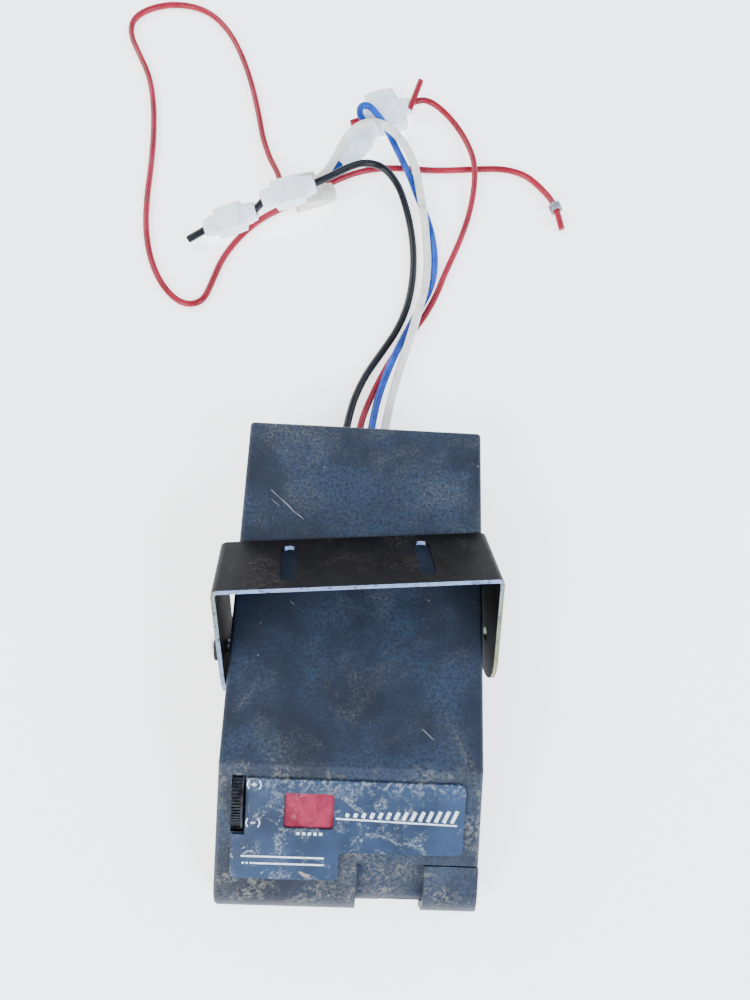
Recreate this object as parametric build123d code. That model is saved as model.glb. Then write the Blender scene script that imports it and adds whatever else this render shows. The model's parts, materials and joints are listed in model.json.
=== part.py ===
from build123d import *
import os
from math import cos, pi, radians, sin, tan

os.makedirs("parts", exist_ok=True)

# A dash-mounted trailer brake controller. Millimetres. X across, Y towards the wires, Z up.
# The housing's own frame has its origin on the ground under the middle of its length;
# place_all() moves everything so that the whole footprint is centred on the origin.

# Housing
TOP_WIDTH = 89.8
BASE_WIDTH = 91.2
HEIGHT = 35.0
FRONT_Y = -86.0
REAR_Y = 86.0
BEND_Y = -39.0
SLOPE = 23.0
LIP_RADIUS = 10.0
WALL = 2.5
SPLIT_Z = 6.0
EDGE_RADIUS = 1.5

# Control face, in face coordinates: x across, s down the slope from the bend
PANEL_LEFT, PANEL_RIGHT = -40.0, 39.4
PANEL_TOP, PANEL_BOTTOM, PANEL_LOW = 4.2, 29.9, 40.0
PANEL_STEP_X = -2.7
PANEL_DEPTH = 1.0
PANEL_GAP = 0.35
SLOT_RIGHT, SLOT_BOTTOM = -35.4, 23.9
LENS_X, LENS_S = -13.7, 15.4
LENS_WIDTH, LENS_HEIGHT = 16.6, 12.2

# Gain thumbwheel
WHEEL_RADIUS = 13.0
WHEEL_PROUD = 3.2
WHEEL_X, WHEEL_WIDTH = -38.0, 3.2
WHEEL_S = 13.9
RIB_COUNT = 76

# Manual slide
RECESS_LEFT = 3.4
RECESS_S = 33.5
RECESS_DEPTH = 3.0
KNOB_LEFT = 26.6
KNOB_S = 34.0
KNOB_THICKNESS = 2.75
STEM_X = 36.0
STEM_Z = 10.0
SLIDE_TRAVEL = 21.0
ROD_Y = -74.0
ROD_RADIUS = 1.5
CARRIER_FRONT, CARRIER_REAR = -77.8, -70.6

# Inside: the main board, the posts under the shells, and the bosses for the bracket's screws
BOARD_LOW, BOARD_TOP = 8.0, 9.6
CASE_POST_RADIUS, BOARD_POST_RADIUS = 3.5, 3.0
BOSS_START, BOSS_RADIUS = 35.0, 6.0
SHAFT_RADIUS = 1.5
RUN_FIT = 0.06

# Bracket, in its own upright frame: origin at the left pivot, on the leg's outer face
BRACKET_WIDTH = 98.2
BRACKET_DEPTH = 32.0
BRACKET_RISE = 34.5
STEEL = 1.5
LEG_HOLE_RADIUS = 2.75
SLOT_WIDTH, SLOT_LENGTH, SLOT_SPACING = 5.5, 23.0, 47.6
PIVOT = (-48.4, 1.1, 23.3)
BRACKET_TILT = -45.0
BRACKET_SKEW = 5.0
SCREW_RADIUS = 2.4
SCREW_HEAD_RADIUS = 4.5
WASHER_RADIUS, WASHER_THICKNESS = 5.4, 1.0
WASHER_GAP = 1.9
INSERT_BORE = 2.42
INSERT_RADIUS = 3.6
INSERT_START, INSERT_END = 37.5, 44.6

# Wires: outer diameters, and the height at which they leave the rear wall
BLACK_D, WHITE_D, BLUE_D, RED_D = 3.4, 3.8, 3.3, 3.0
EXIT_Z = 9.0
EXIT_X = {"black": -9.0, "red": -3.5, "blue": 2.0, "white": 7.5}
HEADER_Y = 78.0

FACE = Plane(
    origin=(0, BEND_Y, HEIGHT),
    x_dir=(1, 0, 0),
    z_dir=(0, -sin(radians(SLOPE)), cos(radians(SLOPE))),
)

parts = {}


def block(x0, x1, y0, y1, z0, z1):
    """A box between two corners."""
    size = Box(x1 - x0, y1 - y0, z1 - z0)
    return size.moved(Location(((x0 + x1) / 2, (y0 + y1) / 2, (z0 + z1) / 2)))


def rod(start, end, radius):
    """A round bar from one point to another."""
    axis = Vector(*end) - Vector(*start)
    plane = Plane(origin=start, z_dir=axis)
    return extrude(plane * Circle(radius), axis.length)


def on_face(x, s, below=0.0):
    """A location on the sloped face, s down from the bend and below it by a depth."""
    return FACE.location * Location((x, -s, -below))


def side_profile(inset, floor):
    """The housing's side outline shrunk by inset, with its lowest edge at floor."""
    angle = radians(SLOPE)
    rear, front, top = REAR_Y - inset, FRONT_Y + inset, HEIGHT - inset
    bend = BEND_Y + inset * tan(angle / 2)
    radius = LIP_RADIUS - inset
    centre_y = FRONT_Y + LIP_RADIUS
    start_y = centre_y - radius * sin(angle)
    start_z = top - (bend - start_y) * tan(angle)
    centre_z = start_z - radius * cos(angle)
    half = (angle + radians(90)) / 2
    middle = (centre_y - radius * sin(half), centre_z + radius * cos(half))
    with BuildSketch(Plane.YZ) as side:
        with BuildLine():
            Polyline(
                (front, centre_z), (front, floor), (rear, floor), (rear, top),
                (bend, top), (start_y, start_z),
            )
            ThreePointArc((start_y, start_z), middle, (front, centre_z))
        make_face()
    return side.sketch


def prism(inset, floor):
    """The side outline carried right across, wider than the housing."""
    return extrude(side_profile(inset, floor), amount=BASE_WIDTH, both=True)


def side_walls(inset):
    """A long bar with the housing's drafted sides, shrunk by inset."""
    low, high = BASE_WIDTH / 2 - inset, TOP_WIDTH / 2 - inset
    with BuildSketch(Plane.XZ) as end:
        Polygon((-low, 0), (low, 0), (high, HEIGHT), (-high, HEIGHT), align=None)
    return extrude(end.sketch, amount=2 * REAR_Y, both=True)


def housing_form(inset, floor):
    return prism(inset, floor) & side_walls(inset)


def rounded_form():
    """The outer form with its side edges rounded above the ground, before it is hollowed."""
    form = housing_form(0.0, 0.0)
    raised = [e for e in form.edges() if e.center().Z > 0.5]
    across = [e for e in raised if abs(e.center().X) < 1.0 and e.center().Y < BEND_Y + 1]
    return fillet([e for e in raised if e not in across], EDGE_RADIUS)


def panel_outline(gap):
    """The stepped outline of the face panel, shrunk by gap, on the sloped face."""
    left, right = PANEL_LEFT + gap, PANEL_RIGHT - gap
    top, bottom, low = -PANEL_TOP - gap, -PANEL_BOTTOM + gap, -PANEL_LOW + gap
    step = PANEL_STEP_X - gap
    slot_x, slot_s = SLOT_RIGHT + gap, -SLOT_BOTTOM - gap
    outline = Polygon(
        (slot_x, top), (right, top), (right, bottom), (step, bottom), (step, low),
        (left, low), (left, slot_s), (slot_x, slot_s), align=None,
    )
    corners = outline.vertices().filter_by(lambda v: v.X > slot_x + 1 or v.Y < -PANEL_LOW + 1)
    return fillet(corners, 2.0)


def recess_tool(margin, inset):
    """What the manual slide's recess takes off the housing down to a given inset."""
    rear = BEND_Y - (RECESS_S - margin) * cos(radians(SLOPE))
    zone = block(RECESS_LEFT - margin, BASE_WIDTH, FRONT_Y - 5, rear, -5, HEIGHT)
    return zone - prism(inset, -10.0)


def side_boss(side):
    """A solid round boss inside each side wall, bored for a threaded insert."""
    reach = BASE_WIDTH / 2 - WALL + 0.6
    return rod((side * BOSS_START, *PIVOT[1:]), (side * reach, *PIVOT[1:]), BOSS_RADIUS)


CASE_POSTS = [(-37.0, 76.0), (37.0, 76.0), (-37.0, -34.0), (37.0, -34.0)]
BOARD_POSTS = [(-30.0, 60.0), (30.0, 60.0), (-30.0, -24.0), (30.0, -24.0)]


def upper_housing():
    outer = rounded_form() - recess_tool(0.0, RECESS_DEPTH)
    inner = housing_form(WALL, -5.0) - recess_tool(WALL, RECESS_DEPTH + WALL)
    shell = outer - inner
    for side in (-1, 1):
        shell += side_boss(side)
        shell -= rod((side * INSERT_START, *PIVOT[1:]), (side * 50, *PIVOT[1:]), INSERT_RADIUS)
    for x, y in CASE_POSTS:
        shell += rod((x, y, SPLIT_Z), (x, y, HEIGHT - WALL), CASE_POST_RADIUS)
    shell -= block(-60, 60, -100, 100, -5, SPLIT_Z)
    for x, y in CASE_POSTS:
        shell -= rod((x, y, 0), (x, y, 20), 1.5)
    shell -= extrude(FACE * panel_outline(0.0), -PANEL_DEPTH)
    window = Pos(3, -17, -WALL - 1) * Rectangle(62, 20)
    shell -= extrude(FACE * window, WALL + 2)
    wheel = on_face(0, WHEEL_S, WHEEL_RADIUS - WHEEL_PROUD).position
    shell -= rod((PANEL_LEFT, wheel.Y, wheel.Z), (SLOT_RIGHT, wheel.Y, wheel.Z), WHEEL_RADIUS + 0.9)
    shell -= block(STEM_X - SLIDE_TRAVEL - 3.6, STEM_X + 3.6, FRONT_Y, -78, STEM_Z - 2.1, STEM_Z + 2.1)
    shell -= block(-14.0, 14.0, 80, 90, SPLIT_Z - 1, 13.0)
    return shell


def lower_housing():
    outer = rounded_form() - recess_tool(0.0, RECESS_DEPTH)
    inner = housing_form(WALL, WALL) - recess_tool(WALL, RECESS_DEPTH + WALL)
    tray = (outer - inner) & block(-60, 60, -100, 100, 0, SPLIT_Z)
    for x, y in CASE_POSTS:
        tray += rod((x, y, WALL), (x, y, SPLIT_Z), CASE_POST_RADIUS)
        tray -= rod((x, y, -1), (x, y, SPLIT_Z + 1), 1.75)
        tray -= rod((x, y, -1), (x, y, 2.2), 3.2)
    for x, y in BOARD_POSTS:
        tray += rod((x, y, WALL), (x, y, BOARD_LOW), BOARD_POST_RADIUS)
        tray -= rod((x, y, 4.0), (x, y, 9.0), 1.1)
    for x in (5.0, 41.6):
        post = block(x - 0.75, x + 0.75, ROD_Y - 2.4, ROD_Y + 3.0, WALL, STEM_Z + 2.2)
        tray += post - rod((x - 2, ROD_Y, STEM_Z), (x + 2, ROD_Y, STEM_Z), ROD_RADIUS + 0.03)
    return tray


def face_panel():
    sheet = extrude(FACE * panel_outline(PANEL_GAP), -PANEL_DEPTH)
    window = RectangleRounded(LENS_WIDTH + 0.2, LENS_HEIGHT + 0.2, 1.1)
    return sheet - extrude(FACE * Pos(LENS_X, -LENS_S, 0) * window, 2, both=True)


def display_lens():
    front = RectangleRounded(LENS_WIDTH, LENS_HEIGHT, 1.0)
    flange = RectangleRounded(LENS_WIDTH + 3, LENS_HEIGHT + 3, 1.5)
    lens = extrude(FACE * Pos(LENS_X, -LENS_S, 0.1) * front, -PANEL_DEPTH - 0.1)
    return lens + extrude(FACE * Pos(LENS_X, -LENS_S, -PANEL_DEPTH) * flange, -1.2)


def face_box(x, s, width, height, top, bottom):
    """A box parallel to the face, between two depths below it."""
    size = Box(width, height, bottom - top)
    return size.moved(on_face(x, s, (top + bottom) / 2))


def display_board():
    board = face_box(5.0, 17.0, 58.0, 22.0, 10.0, 11.6)
    for x in (-20.0, 30.0):
        board -= Cylinder(1.1, 6).moved(on_face(x, 25.0, 10.8))
    return board


def thumbwheel_ring(radius, x0, x1, ribs):
    """A disc on the wheel's axis, with fine ribs round most of its rim."""
    centre = on_face(0, WHEEL_S, WHEEL_RADIUS - WHEEL_PROUD).position
    disc = rod((x0, centre.Y, centre.Z), (x1, centre.Y, centre.Z), radius)
    if not ribs:
        return disc
    groove = block(x0 - 1, x1 + 1, -0.28, 0.28, radius - 0.45, radius + 1)
    for i in range(RIB_COUNT - 8):
        turn = Location((0, centre.Y, centre.Z)) * Rotation(-68 - 360 * i / RIB_COUNT, 0, 0)
        disc -= groove.moved(turn)
    return disc


def gain_thumbwheel():
    centre = on_face(0, WHEEL_S, WHEEL_RADIUS - WHEEL_PROUD).position
    left = WHEEL_X - WHEEL_WIDTH / 2
    right = WHEEL_X + WHEEL_WIDTH / 2
    wheel = thumbwheel_ring(WHEEL_RADIUS, left, right, True)
    wheel += thumbwheel_ring(WHEEL_RADIUS + 0.4, right, right + 0.6, False)
    hub = rod((right, centre.Y, centre.Z), (right + 3.4, centre.Y, centre.Z), 3.5)
    bore = rod((left + 0.8, centre.Y, centre.Z), (right + 4, centre.Y, centre.Z), SHAFT_RADIUS + 0.02)
    return wheel + hub - bore


def gain_shaft():
    centre = on_face(0, WHEEL_S, WHEEL_RADIUS - WHEEL_PROUD).position
    return rod((WHEEL_X - 0.7, centre.Y, centre.Z), (-29.0, centre.Y, centre.Z), SHAFT_RADIUS)


def gain_potentiometer():
    centre = on_face(0, WHEEL_S, WHEEL_RADIUS - WHEEL_PROUD).position
    case = rod((-32.4, centre.Y, centre.Z), (-25.4, centre.Y, centre.Z), 6.5)
    case -= rod((-33, centre.Y, centre.Z), (-28.6, centre.Y, centre.Z), SHAFT_RADIUS + RUN_FIT)
    tongue = face_box(-24.4, WHEEL_S + 4, 2.4, 8.0, 9.9, 12.4)
    tongue -= face_box(-24.4, WHEEL_S + 4, 4.0, 10.0, 9.9, 11.65)
    return case + tongue


def slide_knob():
    form = housing_form(0.0, 1.2) - prism(KNOB_THICKNESS, -10.0)
    rear = BEND_Y - KNOB_S * cos(radians(SLOPE))
    cap = form & block(KNOB_LEFT, BASE_WIDTH, FRONT_Y - 5, rear, 1.2, HEIGHT)
    dish = Sphere(26.0).moved(on_face(STEM_X - 0.3, KNOB_S + 5.0, -25.2))
    cap -= dish
    stem = block(STEM_X - 3.0, STEM_X + 3.0, FRONT_Y + 1.5, CARRIER_FRONT, STEM_Z - 1.7, STEM_Z + 1.7)
    return cap + stem


def slide_carrier():
    body = block(STEM_X - 4.5, STEM_X + 4.5, CARRIER_FRONT, CARRIER_REAR, STEM_Z - 3.4, STEM_Z + 2.1)
    body -= rod((STEM_X - 6, ROD_Y, STEM_Z), (STEM_X + 6, ROD_Y, STEM_Z), ROD_RADIUS + RUN_FIT)
    wiper = block(STEM_X - 2, STEM_X + 2, CARRIER_REAR, -68.0, STEM_Z - 1.0, STEM_Z + 1.0)
    return body + wiper


def slide_potentiometer():
    case = block(7.0, 41.5, -69.8, -62.0, WALL, STEM_Z + 3.5)
    return case - block(9.0, 40.0, -71, -67.2, STEM_Z - 1.6, STEM_Z + 1.6)


def bracket_location():
    return Location(PIVOT) * Rotation(0, 0, BRACKET_SKEW) * Rotation(BRACKET_TILT, 0, 0)


def leg(x):
    """One leg of the bracket: straight sides and a full round end about the pivot."""
    half = BRACKET_DEPTH / 2
    plate = block(x, x + STEEL, -half, half, 0, BRACKET_RISE)
    plate += rod((x, 0, 0), (x + STEEL, 0, 0), half)
    return plate - rod((x - 1, 0, 0), (x + STEEL + 1, 0, 0), LEG_HOLE_RADIUS)


def bracket():
    half = BRACKET_DEPTH / 2
    plate = block(0, BRACKET_WIDTH, -half, half, BRACKET_RISE - STEEL, BRACKET_RISE)
    strap = plate + leg(0) + leg(BRACKET_WIDTH - STEEL)
    for x in (BRACKET_WIDTH / 2 - SLOT_SPACING / 2, BRACKET_WIDTH / 2 + SLOT_SPACING / 2):
        slot = extrude(Rot(0, 0, 90) * SlotOverall(SLOT_LENGTH, SLOT_WIDTH), 4, both=True)
        strap -= slot.moved(Location((x, 0, BRACKET_RISE)))
    corners = [
        e for e in strap.edges().filter_by(Axis.Y)
        if e.center().Z > BRACKET_RISE - 0.1 and min(e.center().X, BRACKET_WIDTH - e.center().X) < 0.1
    ]
    strap = fillet(corners, 2.4)
    inner = [
        e for e in strap.edges().filter_by(Axis.Y)
        if abs(e.center().Z - BRACKET_RISE + STEEL) < 0.1
        and min(e.center().X, BRACKET_WIDTH - e.center().X) < STEEL + 0.1
    ]
    return fillet(inner, 0.9).moved(bracket_location())


def bracket_screw():
    y, z = PIVOT[1], PIVOT[2]
    seat = PIVOT[0] - WASHER_GAP - WASHER_THICKNESS
    middle = 2.6
    dome = Sphere((SCREW_HEAD_RADIUS ** 2 + middle ** 2) ** 0.5).moved(Location((seat + middle, y, z)))
    head = dome - block(seat, seat + 12, y - 9, y + 9, z - 9, z + 9)
    shank = rod((seat, y, z), (-38.2, y, z), SCREW_RADIUS)
    cross = block(seat - 3, seat - 1.4, y - 2.2, y + 2.2, z - 0.45, z + 0.45)
    cross += block(seat - 3, seat - 1.4, y - 0.45, y + 0.45, z - 2.2, z + 2.2)
    return head + shank - cross


def screw_washer():
    y, z = PIVOT[1], PIVOT[2]
    outer = PIVOT[0] - WASHER_GAP
    ring = rod((outer - WASHER_THICKNESS, y, z), (outer, y, z), WASHER_RADIUS)
    return ring - rod((outer - 2, y, z), (outer + 1, y, z), SCREW_RADIUS + 0.05)


def thread_inserts():
    """The brass inserts in the two side bosses."""
    y, z = PIVOT[1], PIVOT[2]
    both = []
    for side in (-1, 1):
        ring = rod((side * INSERT_START, y, z), (side * INSERT_END, y, z), INSERT_RADIUS)
        both.append(ring - rod((side * 36, y, z), (side * 46, y, z), INSERT_BORE))
    return Compound(both)


def screws(places, low, head_height, head_radius, tip, radius):
    """Identical pan-head screws that point up."""
    made = []
    for x, y in places:
        screw = rod((x, y, low), (x, y, low + head_height), head_radius)
        made.append(screw + rod((x, y, low + head_height), (x, y, tip), radius))
    return Compound(made)


def board_screws():
    made = []
    for x, y in BOARD_POSTS:
        screw = rod((x, y, BOARD_TOP), (x, y, 11.2), 2.2)
        made.append(screw + rod((x, y, BOARD_TOP), (x, y, 4.6), 1.07))
    return Compound(made)


def main_board():
    board = block(-33.2, 33.2, -28.0, 79.5, BOARD_LOW, BOARD_TOP)
    for x, y in BOARD_POSTS:
        board -= rod((x, y, 7), (x, y, 11), 1.2)
    notch = block(-16.0, 16.0, 66.0, 90.0, 7, 11)
    return board - notch


def terminal_header():
    header = block(-15.8, 15.8, 66.2, HEADER_Y, 5.0, 14.0)
    for x in EXIT_X.values():
        header -= rod((x, HEADER_Y - 5.0, EXIT_Z), (x, HEADER_Y + 1, EXIT_Z), 1.2)
        header -= rod((x, 72.0, 11.0), (x, 72.0, 15.0), 1.6)
    return header


def terminal_screws():
    return Compound([rod((x, 72.0, 11.2), (x, 72.0, 13.8), 1.5) for x in EXIT_X.values()])


def heat_sink():
    base = block(16.0, 32.0, 6.0, 44.0, BOARD_TOP, 12.0)
    for i in range(5):
        base += block(17.0 + 3.2 * i, 18.4 + 3.2 * i, 6.0, 44.0, 12.0, 20.0)
    return base


def power_transistors():
    made = []
    for y in (14.0, 26.0, 38.0):
        made.append(block(8.0, 15.8, y - 5, y + 5, BOARD_TOP, 14.0))
    return Compound(made)


def controller_chip():
    chip = block(-24.0, -16.0, -8.0, 28.0, 10.2, 13.6)
    for i in range(7):
        for x in (-24.6, -15.6):
            chip += block(x - 0.6, x + 0.8, -5 + 5 * i, -4 + 5 * i, BOARD_TOP, 11.2)
    return chip


def capacitors():
    return Compound([rod((x, 50.0, BOARD_TOP), (x, 50.0, 24.0), 5.0) for x in (-8.0, 4.0)])


def lamp_relay():
    return block(-30.0, -14.0, 34.0, 53.0, BOARD_TOP, 24.0)


def board_link():
    """The flat lead from the main board up to the display board."""
    profile = Plane.YZ * Polygon(
        (-24.0, BOARD_TOP), (-27.0, BOARD_TOP), (-42.6, 18.0), (-39.4, 18.0), align=None,
    )
    return extrude(profile, 9.0, both=True)


def wire_grommet():
    body = block(-13.8, 13.8, 81.2, 85.9, SPLIT_Z, 12.9)
    flange = block(-16.0, 16.0, 81.2, 83.3, SPLIT_Z, 15.0)
    grommet = body + flange
    for name, diameter in (("black", BLACK_D), ("red", RED_D), ("blue", BLUE_D), ("white", WHITE_D)):
        grommet -= rod((EXIT_X[name], 78, EXIT_Z), (EXIT_X[name], 90, EXIT_Z), diameter / 2 + 0.06)
    return grommet


# Wire routes, by hand, from the terminal header out over the ground to their connectors
BLACK_ROUTE = [
    (-9, 78, 9), (-9, 89, 9), (-7.4, 101.5, 6.6), (-5.1, 114, 3), (-0.6, 126, 1.8), (6.5, 138.1, 1.8),
    (13, 149.7, 1.8), (17.3, 162.2, 1.8), (19.4, 175.7, 1.8), (19.7, 189.7, 1.8), (18.4, 203.2, 1.8),
    (15.5, 215.7, 3.2), (11, 226.9, 6.6), (3.3, 234.5, 9.4), (-5.7, 234.4, 11.6), (-14.1, 228.1, 14),
    (-21.8, 220.3, 16.2), (-30.1, 214.6, 16.8),
]
WHITE_ROUTE = [
    (7.5, 78, 9), (7.5, 89, 9), (9, 101.6, 7), (11.2, 114.6, 4.9), (14.7, 129.2, 5.5),
    (18.8, 143.7, 7.2), (22.3, 158.2, 7.9), (25.2, 171.7, 4.7), (26.3, 185.3, 2.4), (25.4, 198.8, 3),
    (23.5, 210.7, 6.5), (21.6, 222.7, 7.3), (19.3, 236.2, 7.4), (14.8, 246.8, 8.9), (8.2, 252.9, 12.2),
    (0.5, 255.9, 14.8), (-7.2, 254.2, 15.4), (-13.4, 248.7, 14.8), (-17.6, 241.3, 13.2),
    (-21.3, 234.1, 9.6), (-25.2, 228.7, 7.6), (-30, 225, 6.6),
]
BLUE_ROUTE = [
    (2, 78, 9), (2, 89, 9), (3.2, 101.6, 7.2), (5.3, 114.1, 5.2), (9.1, 127.1, 5.2), (14, 140.2, 5),
    (19, 151.7, 4.3), (23.5, 162.2, 2.6), (27.8, 172.3, 1.7), (29.9, 183.3, 1.7), (29.4, 196.3, 1.7),
    (26.5, 210.3, 1.7), (21.2, 222.2, 2.6), (16.5, 233.7, 5.4), (11.6, 244.5, 5.6), (6.9, 253.3, 7.4),
    (2.5, 259.7, 10.8), (-2.1, 265, 12.3), (-5.4, 268.1, 12.6), (-9.2, 267.6, 12.4),
    (-9.7, 263.6, 11.4), (-6.9, 260.4, 9.9), (-4.3, 256.6, 8.3),
]
RED_ROUTE = [
    (-3.5, 78, 9), (-3.5, 89, 9), (-1.6, 101.5, 6.8), (1.7, 113.1, 3.4), (5.9, 124.6, 1.6),
    (11.3, 135.9, 1.6), (17.8, 146.2, 1.6), (25.1, 157, 1.6), (30.6, 168.9, 1.6), (34.7, 181.6, 1.6),
    (39.6, 194.4, 1.6), (43.9, 206.9, 1.6), (47, 219.4, 2.2), (48.5, 231, 5), (48.6, 243.8, 5),
    (46.3, 255.4, 3.1), (41.7, 266.4, 2.3), (34.8, 275.9, 2.8), (26.9, 281.9, 4), (20.3, 282, 5),
    (14.4, 277.6, 5.1),
]
LEAD_ROUTE = [
    (-40, 219.4, 6.6), (-44, 221.3, 6.3), (-46.2, 226.1, 5.6), (-48.3, 232.3, 4.2), (-52.1, 240.2, 2.5),
    (-56.8, 253, 1.6), (-60.4, 269.1, 1.6), (-65.1, 286.9, 1.6), (-71.7, 305.7, 1.6),
    (-80.2, 322.6, 1.6), (-91.5, 334.9, 1.6), (-105.9, 339.2, 1.6), (-120.5, 336.3, 1.6),
    (-131, 327.4, 1.6), (-130.9, 315.4, 1.6), (-124.4, 302.5, 1.6), (-117.7, 289.1, 1.6),
    (-113.4, 272.6, 1.6), (-110.8, 253.2, 1.6), (-109.6, 234.2, 1.6), (-109.3, 215.2, 1.6),
    (-107.6, 196.2, 1.6), (-103.1, 179.2, 1.6), (-95.8, 165.3, 1.6), (-85.9, 156.4, 1.6),
    (-76.7, 158.2, 1.6), (-73.4, 170.1, 1.6), (-70.3, 182.1, 1.6), (-64, 194.1, 1.6), (-55.3, 205, 1.6),
    (-44.1, 213.3, 1.6), (-31.6, 221.6, 1.6), (-19.7, 231.3, 1.6), (-5.7, 238.8, 1.6),
    (10.3, 241.3, 1.6), (29.3, 240.7, 1.6), (48.2, 243.2, 1.6), (63.2, 244.9, 1.6), (74.7, 242, 1.6),
    (82.3, 234.3, 1.7), (87.3, 225.5, 3.3), (89.9, 217.4, 3.3), (91.7, 210.6, 1.6),
]


def wire(name, route, diameter):
    """A tube along straight runs joined by arcs as large as the runs allow."""
    points = [Vector(*p) for p in route]
    runs = [b - a for a, b in zip(points, points[1:])]
    radii = []
    for before, after in zip(runs, runs[1:]):
        half_turn = radians(before.get_angle(after)) / 2
        radii.append(0.45 * min(before.length, after.length) / tan(half_turn))
    path = FilletPolyline(*route, radius=radii)
    section = Plane(origin=route[0], z_dir=runs[0]) * Circle(diameter / 2)
    tube = sweep(section, path)
    ratio = tube.volume / (pi * diameter ** 2 / 4 * path.length)
    print(f"{name}: length {path.length:.1f}, tightest bend {min(radii):.1f}, volume ratio {ratio:.4f}")
    return tube


# Tap connectors: block, cap and collars about a wire channel on their own X axis
BLOCK_LENGTH, BLOCK_WIDTH, BLOCK_HEIGHT = 13.0, 14.0, 8.0
COLLAR_LENGTH, COLLAR_WIDTH, COLLAR_HEIGHT = 6.5, 10.5, 6.4


def rounded_box(length, width, height, radius):
    """A box with rounded edges along its length."""
    box = Box(length, width, height)
    return fillet(box.edges().filter_by(Axis.X), radius)


def splice_body(length, width, height, collars):
    """A connector block with collars at its ends, hollow for its blade."""
    body = rounded_box(length, width, height, 1.2)
    for end, across in collars:
        collar = rounded_box(COLLAR_LENGTH, COLLAR_WIDTH, COLLAR_HEIGHT, 2.2)
        body += collar.moved(Location((end * (length + COLLAR_LENGTH) / 2, across, 0)))
    pocket = Box(length - 3.0, width - 4.0, 1.6).moved(Location((0, 0, height / 2 - 0.8)))
    slot = Box(1.2, width - 6.0, height - 3.0).moved(Location((0, 0, 0.6)))
    return body - pocket - slot


def splice_cap(length, width, height):
    cap = Box(length - 3.2, width - 4.2, 1.6).moved(Location((0, 0, height / 2 - 0.7)))
    return cap - Box(1.4, width - 5.6, 1.0).moved(Location((0, 0, height / 2 - 1.3)))


def splice_blade(width, height):
    return Box(1.0, width - 6.4, height - 3.4).moved(Location((0, 0, 0.5)))


def aim(middle, yaw, pitch, roll=0.0):
    """A connector's place: its middle, its heading in plan, its nose-up angle and its roll."""
    return Location(middle) * Rotation(0, 0, yaw) * Rotation(0, -pitch, 0) * Rotation(roll, 0, 0)


# Each connector: where it lies, its block's size, and its collars as (end, offset across)
BOTH_ENDS = ((1, 0.0), (-1, 0.0))
SPLICES = {
    "a": (aim((-66.7, 198.1, 9.6), 13.6, 17.0), (13.0, 14.0, 8.0), BOTH_ENDS),
    "b": (aim((-40.6, 210.3, 15.9), 21.6, 4.6), (13.0, 14.0, 7.6), BOTH_ENDS),
    "c": (aim((-33.8, 218.8, 6.7), 22.4, 0.0), (14.5, 18.0, 7.4), ((1, -4.0),)),
    "d": (aim((3.3, 272.1, 4.9), 23.4, 0.0), (15.0, 23.0, 9.0), BOTH_ENDS),
    "e": (aim((-10.7, 247.2, 7.4), 54.4, 3.0), (13.0, 12.0, 7.6), BOTH_ENDS),
}

NUT_RADIUS, NUT_LENGTH = 2.8, 3.6

# Short cut ends that stick out of the connectors: both ends of each, and the diameter
STUBS = {
    "black_link": ((-50.9, 206.4, 15), (-56.4, 200.5, 12.8), BLACK_D),
    "black_stub": ((-77, 195.6, 6.3), (-86.8, 190.6, 3), BLACK_D),
    "blue_stub": ((-17.3, 237.9, 7), (-21.3, 232.5, 5.6), BLUE_D),
    "red_stub_long": ((15.4, 273.4, 6.4), (21.3, 290.6, 11.5), RED_D),
    "red_stub_short": ((-8.1, 266.8, 4.9), (-13.9, 264.5, 4.2), RED_D),
}


def lead_nut():
    """A hexagonal nut threaded on the long lead near its end."""
    plane = Plane(origin=(88.0, 223.3, 3.3), z_dir=(2.6, -8.2, 0))
    nut = extrude(plane * RegularPolygon(NUT_RADIUS, 6, major_radius=False), NUT_LENGTH)
    return nut - extrude(plane * Circle(RED_D / 2 + 0.25), NUT_LENGTH)


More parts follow.
